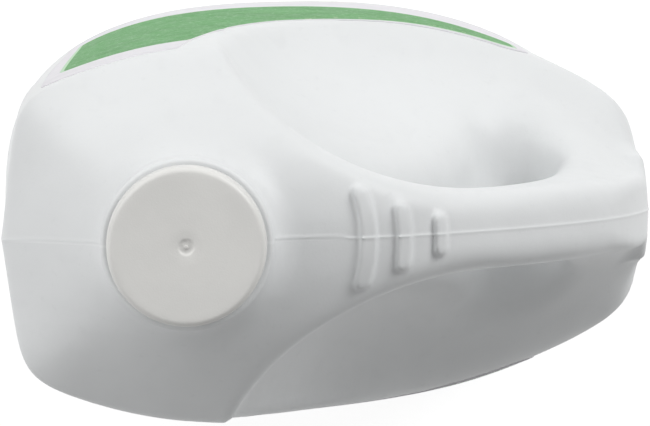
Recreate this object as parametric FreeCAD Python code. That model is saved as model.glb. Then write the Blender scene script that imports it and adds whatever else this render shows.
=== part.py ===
"""Handled one-gallon household jug with a screw cap, foam cap liner and two wrap labels.

Frame: +Z up, origin on the standing plane under the middle of the jug. +X is the handle side, the neck
stands towards -X, and Y = 0 is the mould parting plane. Millimetres throughout.
"""
import FreeCAD
import Part
import math
import os

from FreeCAD import Vector

# ---------------------------------------------------------------- driving dimensions
# jug body
BODY_LENGTH = 191.6          # along X, handle side included
BODY_DEPTH = 123.0           # along Y, labels left out
WALL = 1.0                   # blow-moulded wall
WIDEST_X = -5.0              # where the long sides are furthest apart, at their foot
SHOULDER_Z = 248.0           # edge between the wall and the dome
DOME_TOP_Z = 280.0           # flat land round the neck
SHOULDER_INSET = 11.1        # how far the straight wall leans in by the shoulder edge
DOME_TOP_INSET = 38.0        # how far the dome leans in at its top
SHOULDER_BLEND = 5.0         # half height of the rounding at the shoulder edge
LEFT_SQUARENESS = 2.65       # superellipse exponent of the blunt end at its foot
SHOULDER_SQUARENESS = 3.2    # and at the shoulder edge
RIGHT_SQUARENESS = 2.25      # superellipse exponent of the handle end at its foot
UPPER_RIGHT_SQUARENESS = 2.8 # and beside the finger slot
UPPER_RIGHT_Z = 190.0        # level where it is reached
DOME_SQUARENESS = 2.1        # both ends round the neck
OUTLINE_POINTS = 40          # points that carry each level's outline

# base
BASE_RADIUS = 12.0           # rounding under the wall
STANDING_RING = 7.0          # width of the ring that the jug stands on
PUSH_UP = 4.0                # height of the hollow under the base
PUSH_UP_SLOPE = 6.0          # how far the hollow's side leans in

# handle, finger slot and side scoops
CREST_RADIUS = 159.3         # side view radius of the handle's back
CREST_CENTRE_Z = 140.0       # and the height of its centre
HANDLE_DEPTH = 25.5          # radial thickness of the handle
FINGER_GAP = 33.0            # clear width of the finger slot near its top
FINGER_GAP_LOW = 23.0        # and at its lower end
SLOT_BACK_RADIUS = 110.0     # curve of the slot's side on the body
SLOT_LOW_ANGLE = 10.0        # centre of the slot's lower round end, degrees above level
SLOT_HIGH_ANGLE = 46.0       # centre of the slot's upper round end
SCOOP_X = 45.0               # scoop centre
SCOOP_Y = 72.0
SCOOP_LENGTH = 150.0         # scoop width along X at its top
SCOOP_REACH = 61.5           # from the scoop centre in towards the handle
SCOOP_TOP_Z = 237.0          # the scoop's sides are upright above this level
SCOOP_FLOOR = 109.0          # from there down to its lowest point
RIB_HEIGHT = 1.1             # grip ribs over the handle's back
RIBS = ((11.5, 5.8, 28.0), (21.0, 5.5, 19.0), (31.0, 5.0, 12.0))   # middle X, width, length across

# neck and thread
NECK_X = -35.0
COLLAR_RADIUS = 22.3
COLLAR_HEIGHT = 11.7
COLLAR_BLEND = 3.0           # hollow rounding at its foot
COLLAR_EDGE = 1.3
FINISH_RADIUS = 17.4         # threaded neck without its thread
FINISH_HEIGHT = 10.0
BORE_RADIUS = 15.0
THREAD_PITCH = 4.233
THREAD_DEPTH = 1.2
THREAD_CREST = 0.9           # width of the thread's top
THREAD_SLOPE = 0.583         # flank run per unit of depth
THREAD_TURNS = 1.25
THREAD_START = 2.5           # first turn's centre above the collar
THREAD_ROOT_BITE = 0.4       # how deep the thread's foot is set in its wall

# cap and liner
CAP_SKIRT = 1.6              # wall of the cap round its thread's root
CAP_HEIGHT = 11.0
CAP_PLATE = 1.3
CAP_DRAFT = 0.3              # skirt is this much smaller at its top
CAP_EDGE = 1.5
LINER_THICKNESS = 0.9
GATE_RADIUS = 1.9            # shallow dish in the middle of the cap
GATE_DEPTH = 0.4
GATE_STUB_RADIUS = 0.5
GATE_STUB_HEIGHT = 0.3

# labels
LABEL_THICKNESS = 0.2
LABEL_LEFT = -74.0
LABEL_RIGHT = 64.0
LABEL_BOTTOM = 22.0
LABEL_MARGIN = 5.0           # from the label's edge to the scoop

# ---------------------------------------------------------------- clearances
THREAD_FLANK_GAP = 0.3       # along the axis, each side
THREAD_RADIAL_GAP = 0.3      # crest of one thread to root of the other
LINER_GAP = 0.1              # liner to the cap's plate
LINER_SIDE_GAP = 0.6         # and to its skirt

# ---------------------------------------------------------------- nodes of the one moulding
BASE_SPLIT_Z = 128.0         # tank below, shoulders above
NECK_SPLIT_Z = 285.0         # round the collar, above its foot
HANDLE_SPLIT_X = 5.0         # through the handle's root, above the finger slot

# ---------------------------------------------------------------- worked out
HALF_LENGTH = BODY_LENGTH / 2
HALF_DEPTH = BODY_DEPTH / 2
CREST_CENTRE_X = HALF_LENGTH - CREST_RADIUS
HANDLE_INNER_RADIUS = CREST_RADIUS - HANDLE_DEPTH
COLLAR_TOP_Z = DOME_TOP_Z + COLLAR_HEIGHT
FINISH_TOP_Z = COLLAR_TOP_Z + FINISH_HEIGHT
CAP_CEILING_Z = FINISH_TOP_Z + LINER_THICKNESS + LINER_GAP
CAP_TOP_Z = CAP_CEILING_Z + CAP_PLATE
CAP_BOTTOM_Z = CAP_TOP_Z - CAP_HEIGHT
CAP_INNER_RADIUS = FINISH_RADIUS + THREAD_DEPTH + THREAD_RADIAL_GAP
CAP_RADIUS = CAP_INNER_RADIUS + CAP_SKIRT
LINER_RADIUS = CAP_INNER_RADIUS - LINER_SIDE_GAP
ABOVE_ALL_Z = CAP_TOP_Z + 20.0
BEYOND_SIDES = BODY_DEPTH


def blend(a, b, share):
    return a + (b - a) * share


# ---------------------------------------------------------------- body levels
def body_level(z, inset, left_power, right_power, grow):
    """Closed outline of the jug at one height, grown outwards by `grow`."""
    lean = min(max(inset / DOME_TOP_INSET, 0.0), 1.0) if z > BASE_RADIUS else 0.0
    middle = blend(WIDEST_X, NECK_X, lean)
    left = middle + HALF_LENGTH - inset
    if z > CREST_CENTRE_Z:
        right = CREST_CENTRE_X + math.sqrt((CREST_RADIUS + grow) ** 2 - (z - CREST_CENTRE_Z) ** 2) - middle
    elif z > BASE_RADIUS:
        right = HALF_LENGTH + grow - middle
    else:
        right = HALF_LENGTH - inset - middle
    half = HALF_DEPTH - inset
    points = []
    for k in range(OUTLINE_POINTS):
        angle = 2 * math.pi * k / OUTLINE_POINTS
        c = math.cos(angle)
        s = math.sin(angle)
        reach = right if c > 0 else left
        power = right_power if c > 0 else left_power
        r = (abs(c / reach) ** power + abs(s / half) ** power) ** (-1 / power)
        points.append(Vector(middle + r * c, r * s, z))
    curve = Part.BSplineCurve()
    curve.interpolate(Points=points, PeriodicFlag=True)
    return Part.Wire(curve.toShape())


def wall_lean(z):
    """How far the wall has leaned in at one height; its lines are straight, so that a label lies flat on it."""
    return SHOULDER_INSET * (z - BASE_RADIUS) / (SHOULDER_Z - BASE_RADIUS)


def wall_stations():
    """(height, inset, slope in degrees from upright, left power, right power) up the jug's wall."""
    stations = []
    for turn in (-90, -68, -45, -22, 0):
        tilt = math.radians(turn)
        stations.append((BASE_RADIUS + BASE_RADIUS * math.sin(tilt),
                         BASE_RADIUS - BASE_RADIUS * math.cos(tilt), turn, LEFT_SQUARENESS, RIGHT_SQUARENESS))
    edge_z = SHOULDER_Z - SHOULDER_BLEND
    slope = math.degrees(math.atan(wall_lean(SHOULDER_Z) / (SHOULDER_Z - BASE_RADIUS)))
    for share in (0.07, 0.2, 0.36, 0.52, 0.68, 0.84, 1.0):
        z = blend(BASE_RADIUS, edge_z, share)
        upper = min((z - BASE_RADIUS) / (UPPER_RIGHT_Z - BASE_RADIUS), 1.0)
        stations.append((z, wall_lean(z), slope, blend(LEFT_SQUARENESS, SHOULDER_SQUARENESS, share),
                         blend(RIGHT_SQUARENESS, UPPER_RIGHT_SQUARENESS, upper)))
    lean = (DOME_TOP_INSET - SHOULDER_INSET) / (DOME_TOP_Z - SHOULDER_Z)
    slope = math.degrees(math.atan(lean))
    start_z = SHOULDER_Z + SHOULDER_BLEND
    for share in (0.0, 0.35, 0.7, 1.0):
        z = blend(start_z, DOME_TOP_Z, share)
        stations.append((z, DOME_TOP_INSET - lean * (DOME_TOP_Z - z), slope,
                         blend(SHOULDER_SQUARENESS, DOME_SQUARENESS, share),
                         blend(UPPER_RIGHT_SQUARENESS, DOME_SQUARENESS, share)))
    return stations


def envelope(grow):
    """The whole jug before its scoops and slot, with every wall moved out by `grow`."""
    levels = []
    for z, inset, slope, left_power, right_power in wall_stations():
        tilt = math.radians(slope)
        level_z = z + grow * math.sin(tilt)
        level_inset = inset - grow * math.cos(tilt)
        if z == DOME_TOP_Z:
            level_z = z + grow
            level_inset = inset - grow / math.cos(tilt) + grow * math.tan(tilt)
        levels.append(body_level(level_z, level_inset, left_power, right_power, grow))
    return Part.makeLoft(levels, True, False)


def scoop_section(share, grow):
    """Half sizes along X and Y of the scoop's outline at a share of its depth."""
    half_length = (SCOOP_LENGTH / 2 - grow) * (1 - share ** 4) ** 0.25
    return half_length, (SCOOP_REACH - grow) * math.sqrt(1 - share ** 2)


def scoop(side, grow):
    """Tool that hollows one side of the jug beside the handle."""
    depth = SCOOP_FLOOR - grow
    levels = [(ABOVE_ALL_Z, 0.0), (blend(SCOOP_TOP_Z, ABOVE_ALL_Z, 0.4), 0.0)]
    for share in (0.0, 0.3, 0.55, 0.75, 0.88, 0.96):
        levels.append((SCOOP_TOP_Z - depth * share, share))
    wires = []
    for z, share in levels:
        rx, ry = scoop_section(share, grow)
        centre = Vector(SCOOP_X, side * SCOOP_Y, z)
        if rx > ry:
            ellipse = Part.Ellipse(centre, rx, ry)
        else:
            ellipse = Part.Ellipse(centre + Vector(0, ry, 0), centre + Vector(rx, 0, 0), centre)
        wires.append(Part.Wire(ellipse.toShape()))
    return Part.makeLoft(wires, True, False)


def round_crest(radius, degrees):
    """Point in the XZ plane, on a circle about the centre of the handle's back."""
    angle = math.radians(degrees)
    return Vector(CREST_CENTRE_X + radius * math.cos(angle), 0, CREST_CENTRE_Z + radius * math.sin(angle))


def centre_touching(low, low_reach, high, high_reach):
    """Centre of the circle that lies low_reach from one point and high_reach from the other, body side."""
    apart = (high - low).Length
    along = (apart ** 2 + low_reach ** 2 - high_reach ** 2) / (2 * apart)
    across = math.sqrt(low_reach ** 2 - along ** 2)
    line = (high - low).normalize()
    return low + line * along + Vector(-line.z, 0, line.x) * across


def arc_through(centre, radius, start, end):
    """Arc about a centre by its shorter way round."""
    middle = ((start - centre).normalize() + (end - centre).normalize()).normalize()
    return Part.Arc(start, centre + middle * radius, end).toShape()


def slot_ends():
    """Centres of the finger slot's upper and lower round ends."""
    high = round_crest(HANDLE_INNER_RADIUS - FINGER_GAP / 2, SLOT_HIGH_ANGLE)
    low = round_crest(HANDLE_INNER_RADIUS - FINGER_GAP_LOW / 2, SLOT_LOW_ANGLE)
    return high, low


def finger_slot(grow):
    """Slot between the handle and the body: it follows the handle and narrows towards its lower end."""
    high_half = FINGER_GAP / 2
    low_half = FINGER_GAP_LOW / 2
    high, low = slot_ends()
    crest_centre = Vector(CREST_CENTRE_X, 0, CREST_CENTRE_Z)
    back_centre = centre_touching(low, SLOT_BACK_RADIUS + low_half, high, SLOT_BACK_RADIUS + high_half)
    high_half -= grow
    low_half -= grow
    handle_low = low + (low - crest_centre).normalize() * low_half
    handle_high = high + (high - crest_centre).normalize() * high_half
    back_low = low + (back_centre - low).normalize() * low_half
    back_high = high + (back_centre - high).normalize() * high_half
    along = (high - low).normalize()
    outline = Part.Wire([
        arc_through(crest_centre, HANDLE_INNER_RADIUS - grow, handle_low, handle_high),
        Part.Arc(handle_high, high + along * high_half, back_high).toShape(),
        arc_through(back_centre, SLOT_BACK_RADIUS + grow, back_high, back_low),
        Part.Arc(back_low, low - along * low_half, handle_low).toShape(),
    ])
    face = Part.Face(outline)
    face.translate(Vector(0, -BEYOND_SIDES, 0))
    return face.extrude(Vector(0, 2 * BEYOND_SIDES, 0))


def push_up(grow):
    """Hollow under the base; it keeps the jug on its outer ring."""
    ring = BASE_RADIUS + STANDING_RING + grow
    low = body_level(-1.0, ring, LEFT_SQUARENESS, RIGHT_SQUARENESS, 0.0)
    high = body_level(PUSH_UP - grow, ring + PUSH_UP_SLOPE, LEFT_SQUARENESS, RIGHT_SQUARENESS, 0.0)
    return Part.makeLoft([low, high], True, True)


def jug_form(grow):
    form = envelope(grow)
    for side in (-1, 1):
        form = form.cut(scoop(side, grow))
    return form.cut(finger_slot(grow)).cut(push_up(grow))


# ---------------------------------------------------------------- turned parts
def turned(edges_or_points, x=NECK_X):
    """Solid of revolution about the neck axis from (radius, z) points; a third value is an arc's middle."""
    edges = []
    previous = edges_or_points[-1][:2]
    for item in edges_or_points:
        start = Vector(previous[0], 0, previous[1])
        end = Vector(item[0], 0, item[1])
        if len(item) == 4:
            edges.append(Part.Arc(start, Vector(item[2], 0, item[3]), end).toShape())
        else:
            edges.append(Part.LineSegment(start, end).toShape())
        previous = item[:2]
    solid = Part.Face(Part.Wire(edges)).revolve(Vector(0, 0, 0), Vector(0, 0, 1), 360)
    solid.translate(Vector(x, 0, 0))
    return solid


def corner(end_r, end_z, centre_r, centre_z, radius, degrees):
    """Arc to (end_r, end_z) whose middle lies at `degrees` round its centre."""
    angle = math.radians(degrees)
    return (end_r, end_z, centre_r + radius * math.cos(angle), centre_z + radius * math.sin(angle))


def neck_outside():
    foot = COLLAR_RADIUS + COLLAR_BLEND
    lip = 0.8
    return turned([
        (0.0, DOME_TOP_Z - WALL),
        (foot, DOME_TOP_Z - WALL),
        (foot, DOME_TOP_Z),
        corner(COLLAR_RADIUS, DOME_TOP_Z + COLLAR_BLEND, foot, DOME_TOP_Z + COLLAR_BLEND, COLLAR_BLEND, 225),
        (COLLAR_RADIUS, COLLAR_TOP_Z - COLLAR_EDGE),
        corner(COLLAR_RADIUS - COLLAR_EDGE, COLLAR_TOP_Z,
               COLLAR_RADIUS - COLLAR_EDGE, COLLAR_TOP_Z - COLLAR_EDGE, COLLAR_EDGE, 45),
        (FINISH_RADIUS, COLLAR_TOP_Z),
        (FINISH_RADIUS, FINISH_TOP_Z - lip),
        (FINISH_RADIUS - lip, FINISH_TOP_Z),
        (0.0, FINISH_TOP_Z),
    ])


def neck_inside():
    wide = COLLAR_RADIUS - WALL
    funnel = wide - BORE_RADIUS
    return turned([
        (0.0, SHOULDER_Z),
        (wide - COLLAR_BLEND, SHOULDER_Z),
        (wide, DOME_TOP_Z - WALL),
        (wide, COLLAR_TOP_Z - WALL - funnel),
        (BORE_RADIUS, COLLAR_TOP_Z - WALL),
        (BORE_RADIUS, FINISH_TOP_Z + 1.0),
        (0.0, FINISH_TOP_Z + 1.0),
    ])


def helix_ridge(root_radius, crest_radius, crest_width, centre_z, start_degrees):
    """One start of screw thread; it stands out of the wall at root_radius towards crest_radius."""
    outward = 1 if crest_radius > root_radius else -1
    foot_radius = root_radius - outward * THREAD_ROOT_BITE
    foot_half = crest_width / 2 + THREAD_SLOPE * abs(crest_radius - foot_radius)
    corners = [
        Vector(foot_radius, 0, -foot_half),
        Vector(crest_radius, 0, -crest_width / 2),
        Vector(crest_radius, 0, crest_width / 2),
        Vector(foot_radius, 0, foot_half),
    ]
    profile = Part.makePolygon(corners + [corners[0]])
    spine = Part.Wire(Part.makeHelix(THREAD_PITCH, THREAD_TURNS * THREAD_PITCH, root_radius).Edges)
    ridge = spine.makePipeShell([profile], True, True)
    ridge.rotate(Vector(0, 0, 0), Vector(0, 0, 1), start_degrees)
    ridge.translate(Vector(NECK_X, 0, centre_z))
    return ridge


def neck_thread():
    return helix_ridge(FINISH_RADIUS, FINISH_RADIUS + THREAD_DEPTH, THREAD_CREST,
                       COLLAR_TOP_Z + THREAD_START, 0.0)


def cap_thread():
    """Sits half a pitch above the neck's thread, with the flank gap on both sides."""
    crest_radius = FINISH_RADIUS + THREAD_RADIAL_GAP
    neck_width_there = THREAD_CREST + 2 * THREAD_SLOPE * (THREAD_DEPTH - THREAD_RADIAL_GAP)
    crest_width = THREAD_PITCH - neck_width_there - 2 * THREAD_FLANK_GAP
    lowest = CAP_BOTTOM_Z + crest_width / 2 + THREAD_SLOPE * THREAD_DEPTH
    rise = lowest - (COLLAR_TOP_Z + THREAD_START + THREAD_PITCH / 2)
    return helix_ridge(CAP_INNER_RADIUS, crest_radius, crest_width, lowest, 360.0 * rise / THREAD_PITCH)


# ---------------------------------------------------------------- pieces
def grip_ribs():
    """Low ribs across the handle's back, each on a slice of the crest."""
    crown = envelope(RIB_HEIGHT)
    ribs = []
    for middle_x, width, length in RIBS:
        degrees = math.degrees(math.acos((middle_x - CREST_CENTRE_X) / CREST_RADIUS))
        block = Part.makeBox(HANDLE_DEPTH / 2, length, width)
        block.translate(Vector(CREST_RADIUS - HANDLE_DEPTH / 4, -length / 2, -width / 2))
        block.rotate(Vector(0, 0, 0), Vector(0, 1, 0), -degrees)
        block.translate(Vector(CREST_CENTRE_X, 0, CREST_CENTRE_Z))
        ribs.append(block.common(crown))
    return ribs


def jug_body():
    outside = jug_form(0.0)
    for piece in grip_ribs() + [neck_outside(), neck_thread()]:
        outside = outside.fuse(piece)
    inside = jug_form(-WALL).fuse(neck_inside())
    return outside.cut(inside)


def handle_region():
    """Prism on the handle's side of the line between the finger slot's two ends."""
    high, low = slot_ends()
    fall = (low.z - high.z) / (low.x - high.x)
    far_x = HALF_LENGTH + BEYOND_SIDES
    corners = [
        Vector(HANDLE_SPLIT_X, 0, ABOVE_ALL_Z),
        Vector(HANDLE_SPLIT_X, 0, high.z + fall * (HANDLE_SPLIT_X - high.x)),
        Vector(far_x, 0, high.z + fall * (far_x - high.x)),
        Vector(far_x, 0, ABOVE_ALL_Z),
    ]
    face = Part.Face(Part.makePolygon(corners + [corners[0]]))
    face.translate(Vector(0, -BEYOND_SIDES, 0))
    return face.extrude(Vector(0, 2 * BEYOND_SIDES, 0))


def slab(low_z, high_z):
    """Everything between two levels."""
    side = 4 * BEYOND_SIDES
    block = Part.makeBox(side, side, high_z - low_z)
    block.translate(Vector(-side / 2, -side / 2, low_z))
    return block


def jug_nodes():
    """The one-piece moulding as four simpler solids that meet face to face, so that its hollows stay open."""
    whole = jug_body()
    body = whole.common(slab(-BEYOND_SIDES, NECK_SPLIT_Z))
    handle = handle_region()
    trunk = body.cut(handle)
    return {
        "jug_base": trunk.common(slab(-BEYOND_SIDES, BASE_SPLIT_Z)),
        "jug_shoulders": trunk.common(slab(BASE_SPLIT_Z, ABOVE_ALL_Z)),
        "jug_handle": body.common(handle),
        "jug_neck": whole.common(slab(NECK_SPLIT_Z, ABOVE_ALL_Z)),
    }


def screw_cap():
    top_radius = CAP_RADIUS - CAP_DRAFT
    foot = 0.4
    cap = turned([
        (CAP_INNER_RADIUS, CAP_CEILING_Z),
        (CAP_INNER_RADIUS, CAP_BOTTOM_Z),
        (CAP_RADIUS - foot, CAP_BOTTOM_Z),
        (CAP_RADIUS, CAP_BOTTOM_Z + foot),
        (top_radius, CAP_TOP_Z - CAP_EDGE),
        corner(top_radius - CAP_EDGE, CAP_TOP_Z, top_radius - CAP_EDGE, CAP_TOP_Z - CAP_EDGE, CAP_EDGE, 45),
        (GATE_RADIUS, CAP_TOP_Z),
        (GATE_RADIUS - GATE_DEPTH, CAP_TOP_Z - GATE_DEPTH),
        (GATE_STUB_RADIUS, CAP_TOP_Z - GATE_DEPTH),
        (GATE_STUB_RADIUS, CAP_TOP_Z - GATE_DEPTH + GATE_STUB_HEIGHT),
        (0.0, CAP_TOP_Z - GATE_DEPTH + GATE_STUB_HEIGHT),
        (0.0, CAP_CEILING_Z),
    ])
    return cap.fuse(cap_thread())


def cap_liner():
    liner = Part.makeCylinder(LINER_RADIUS, LINER_THICKNESS)
    liner.translate(Vector(NECK_X, 0, FINISH_TOP_Z))
    return liner


def rounded_outline(corners):
    """Closed wire in the XZ plane from (x, z, radius) corners."""
    count = len(corners)
    edges = []
    arcs = []
    for k, (x, z, radius) in enumerate(corners):
        here = Vector(x, 0, z)
        to_last = (Vector(corners[k - 1][0], 0, corners[k - 1][1]) - here).normalize()
        to_next = (Vector(corners[(k + 1) % count][0], 0, corners[(k + 1) % count][1]) - here).normalize()
        half_angle = to_last.getAngle(to_next) / 2
        back = radius / math.tan(half_angle)
        inward = (to_last + to_next).normalize()
        middle = here + inward * (radius / math.sin(half_angle) - radius)
        arcs.append((here + to_last * back, middle, here + to_next * back))
    for k, (start, middle, end) in enumerate(arcs):
        edges.append(Part.Arc(start, middle, end).toShape())
        edges.append(Part.LineSegment(end, arcs[(k + 1) % count][0]).toShape())
    return Part.Wire(edges)


def label(side):
    """Film on one long wall; its upper edge keeps off the shoulder and follows the scoop's rim."""
    floor_z = SCOOP_TOP_Z - SCOOP_FLOOR
    top = SHOULDER_Z - SHOULDER_BLEND - LABEL_MARGIN / 2
    corners = [
        (LABEL_LEFT, LABEL_BOTTOM, 8.0),
        (LABEL_RIGHT, LABEL_BOTTOM, 8.0),
        (LABEL_RIGHT, floor_z - LABEL_MARGIN, 8.0),
        (SCOOP_X - SCOOP_LENGTH / 8, floor_z - LABEL_MARGIN, 40.0),
    ]
    for share in (0.9, 0.78, 0.6, 0.4, 0.15):
        z = SCOOP_TOP_Z - SCOOP_FLOOR * share
        rx, ry = scoop_section(share, 0.0)
        wall_y = HALF_DEPTH - wall_lean(z)
        rim_x = SCOOP_X - rx * math.sqrt(1 - ((SCOOP_Y - wall_y) / ry) ** 2)
        corners.append((rim_x - LABEL_MARGIN, z - LABEL_MARGIN * share, 20.0))
    corners.append((corners[-1][0], top, 8.0))
    corners.append((LABEL_LEFT + LABEL_MARGIN, top - LABEL_MARGIN, 14.0))
    outline = rounded_outline(corners)
    sheet = Part.Face(outline).extrude(Vector(0, side * BEYOND_SIDES, 0))
    return envelope(LABEL_THICKNESS).common(sheet).cut(envelope(0.0))


def main():
    os.makedirs("parts", exist_ok=True)
    pieces = jug_nodes()
    pieces.update({
        "screw_cap": screw_cap(),
        "cap_liner": cap_liner(),
        "back_label": label(1),
        "front_label": label(-1),
    })
    for node, shape in pieces.items():
        box = shape.optimalBoundingBox()
        print(node, len(shape.Solids), "solids", shape.isValid(), round(shape.Volume, 1), "mm3",
              [round(v, 2) for v in (box.XMin, box.YMin, box.ZMin, box.XMax, box.YMax, box.ZMax)])
        shape.exportStep("parts/%s.step" % node)


main()
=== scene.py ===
"""Household jug with a handle, a screw cap and two labels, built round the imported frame.

Shaping works in millimetres, Blender's data in metres. Each skin is the surface where a field is zero. A field takes
x, y and z, is negative inside, and grows outwards by about one for each millimetre.
"""
import math

import bpy
import numpy as np
from bpy.props import FloatProperty, FloatVectorProperty, PointerProperty
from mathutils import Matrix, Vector


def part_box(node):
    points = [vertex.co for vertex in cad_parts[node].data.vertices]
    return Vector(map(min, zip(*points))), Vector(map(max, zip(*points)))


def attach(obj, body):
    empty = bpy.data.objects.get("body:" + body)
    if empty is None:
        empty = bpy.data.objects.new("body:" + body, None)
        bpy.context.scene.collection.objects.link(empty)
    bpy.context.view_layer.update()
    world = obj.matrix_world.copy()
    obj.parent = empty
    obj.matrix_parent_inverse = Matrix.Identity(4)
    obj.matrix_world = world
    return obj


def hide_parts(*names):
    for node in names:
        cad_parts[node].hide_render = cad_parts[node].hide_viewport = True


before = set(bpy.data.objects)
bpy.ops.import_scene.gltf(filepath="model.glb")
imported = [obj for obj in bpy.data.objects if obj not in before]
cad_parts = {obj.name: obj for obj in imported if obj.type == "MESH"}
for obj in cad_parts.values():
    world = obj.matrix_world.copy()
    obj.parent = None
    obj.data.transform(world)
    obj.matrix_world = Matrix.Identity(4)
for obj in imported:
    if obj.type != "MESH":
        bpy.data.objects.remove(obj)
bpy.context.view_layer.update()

bl_info = {
    "name": "Handled jug",
    "version": (1, 0, 0),
    "blender": (4, 5, 0),
    "location": "3D View > Sidebar > Handled jug",
    "description": "Builds a blow-moulded jug with its screw cap, liner, labels and studio",
    "category": "Add Mesh",
}

MM = 0.001
FAR = 1e3                        # higher and steeper than anything here
SLOPE_STEP = 0.05                # step for measuring slopes, mm
SEGMENTS = 144                   # points round each turned ring
CAP_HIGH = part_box("screw_cap")[1]
LINER_LOW, LINER_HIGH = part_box("cap_liner")
JUG_NODES = [name for name in sorted(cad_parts) if name.startswith("jug_")]

# walls and dome, mm
HALF_LENGTH, HALF_DEPTH = 95.8, 61.5
WIDEST_X, NECK_X = -5.0, -35.0
BASE_RADIUS = 12.0
SHOULDER_Z, DOME_Z = 248.0, 280.0
SHOULDER_INSET, DOME_INSET = 11.1, 38.0
SHOULDER_ROUNDING, DOME_ROUNDING = 1.8, 9.0
RING_INSET, PUSH_UP, PUSH_UP_LEAN, RING_ROUNDING = 19.0, 4.0, 1.2, 2.5   # standing ring and hollow underneath
INNER_GAP = 1.25                 # how far in the inner skin starts, in wall thicknesses
REACH_X, REACH_Y = 110, 75.0     # beyond the jug on every side
LEAST_RIGHT, LEAST_SLOPE = 4.0, 0.25                  # keep the fields sound far from the jug
# outline, as powers of an oval and as squared sides: slant, reach, end's slant, end's reach, corner, width
FOOT_LEFT, FOOT_RIGHT, DOME_POWER = 2.65, 2.25, 2.1
SIDE_LEFT = (0.517, 1.2287, 0.0907, 0.9991, 15.83, 1.0025)
SIDE_RIGHT = (0.778, 1.334, 0.0238, 1.0003, 12.47, 1.0022)
SQUARE_LEFT_Z, SQUARE_RIGHT_Z = 200.0, 115.0          # heights by which the outline is squared off
# handle and its ridge, an arc in side view, mm
CREST_RADIUS, CREST_Z = 159.3, 140.0
CREST_X = HALF_LENGTH - CREST_RADIUS
CREST_CENTRE = np.array([CREST_X, CREST_Z])
# scoops beside the handle, mm
SCOOP_X, SCOOP_Y = 45.0, 72.0
SCOOP_HALF, SCOOP_REACH = 75.0, 61.5
SCOOP_TOP_Z, SCOOP_BELOW_CREST, SCOOP_TOP_ROUNDING = 237.0, 18.0, 16.0
SCOOP_FLAT, SCOOP_POWER = 12.0, 1.9
SCOOP_LEAST_DEPTH, SCOOP_LEAST_SHARE = 6.0, 0.38      # keep the scoop's shape sound where it runs out
SCOOP_LEAST_REACH, SCOOP_LEAST_WIDTH = 14.0, 2.0
SCOOP_STEEPEST = 1.8
SCOOP_EDGE, SCOOP_HANDLE_EDGE, SCOOP_END_SHARE = 3.0, 8.0, 0.5   # rounding on the wall, on the handle, at its end
SCOOP_HANDLE_RUN, SCOOP_END_RUN = (0, 42), (78, 90)   # x over which these take over
SCOOP_RIM = (                    # (x, z) of the scoop's lower edge on the back and on the front wall
    ((-34, 228), (-29.8, 216), (-23.8, 183), (-20.3, 168), (-16.8, 158), (-9.5, 144), (-2.3, 137), (8.7, 131),
     (24, 128), (92, 128)),
    ((-34, 232), (-27, 226), (-21, 215), (-14, 197), (-6, 180), (1, 166), (9, 153), (17, 142), (26, 132), (36, 128),
     (92, 128)))
LIP_X, LIP_Z, LIP_Y = 88.5, 148.0, 9.0                # where the lip that ends the scoops starts
LIP_LEAN_Z, LIP_LEAN_Y, LIP_SLOPE, LIP_ROUNDING = 1.2, 0.75, 1.5, 7.0
# finger slot, mm
SLOT_OUTER = CREST_RADIUS - 25.5
SLOT_HIGH = (46.0, 16.5)         # angle round the crest's centre, half width
SLOT_LOW = (10.0, 11.5)
SLOT_BACK = 110.0
SLOT_ROUNDING = 11.0
# grip ribs and parting line, mm
RIBS = ((11.8, 5.8, 28.0, 2.6), (21.2, 5.5, 19.0, 0.9), (31.0, 5.0, 12.0, 0.4))  # X, width, length, bow
RIB_FLANK = (-1.15, 0.3)         # from a rib's full height to its foot
RIB_CORNER = 0.2                 # what a rib's corner radius lacks of half its width
RIB_DEPTH, RIB_LEAST_Z = 10.0, 200.0                  # ribs stay on the handle's outer side
SEAM_SHIFT, SEAM_HALF = 0.55, 0.3
SEAM_SHIFT_X, SEAM_SHIFT_Z, SEAM_START_Z = (4.0, 7.5), (240.0, 262.0), (0.5, 2.5)
# neck and cap, mm
NECK_FOOT_Z = 262.0
COLLAR_RADIUS, COLLAR_TOP, COLLAR_ROUNDING = 22.3, 291.7, 8.0
FINISH_RADIUS, FINISH_TOP = 17.4, 301.7
BORE_RADIUS, COLLAR_BORE, BORE_ROUNDING = 15.0, 21.3, 2.0
OUTER_SKIN_TOP, INNER_SKIN_TOP, RING_GAP = 288.0, 282.0, 0.6   # where both skins end and the neck's rings start
PITCH, THREAD_DEPTH, THREAD_TURNS = 4.233, 1.2, 1.25
THREAD_SLOPE = 0.583             # how far a flank runs along the neck for each millimetre of depth
THREAD_START = 2.5               # the neck's first turn above the collar
THREAD_RUN_OUT = 0.35            # over which a thread's ends fade, radians
NECK_THREAD_CREST, CAP_THREAD_CREST = 0.9, 1.684
CAP_HEIGHT, CAP_RADIUS, CAP_INNER_RADIUS, CAP_CEILING = 11.0, 20.5, 18.9, 1.3
LINER_RADIUS, LINER_EDGE, LIP_MARK = 18.3, 0.2, 0.08
# labels, mm
LABEL_LEFT, LABEL_RIGHT, LABEL_BOTTOM, LABEL_TOP = -74.0, 64.0, 22.0, 241.5
LABEL_THICKNESS, LABEL_EMBEDDED = 0.25, 0.15
LABEL_CORNER, LABEL_TOP_CORNER = 8.0, 14.0
LABEL_BELOW_SCOOP = (2.1, 5.0)   # gap under the scoop's edge, on the left and along the handle
FIELD_LEFT, FIELD_RIGHT, FIELD_BOTTOM, FIELD_TOP, FIELD_CORNER = -70.0, 61.0, 50.0, 209.0, 9.0
FIELD_RISE_X, FIELD_RISE = -20.0, 6.0                 # the field's lower edge curves up to the right of this x
FIELD_TOP_GAP, FIELD_RIM = 1.6, 1.1
TOP_GAP = "top_gap"              # each label point's distance below the film's upper edge
DOT_COLOUR = (0.86, 0.83, 0.62)
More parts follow.
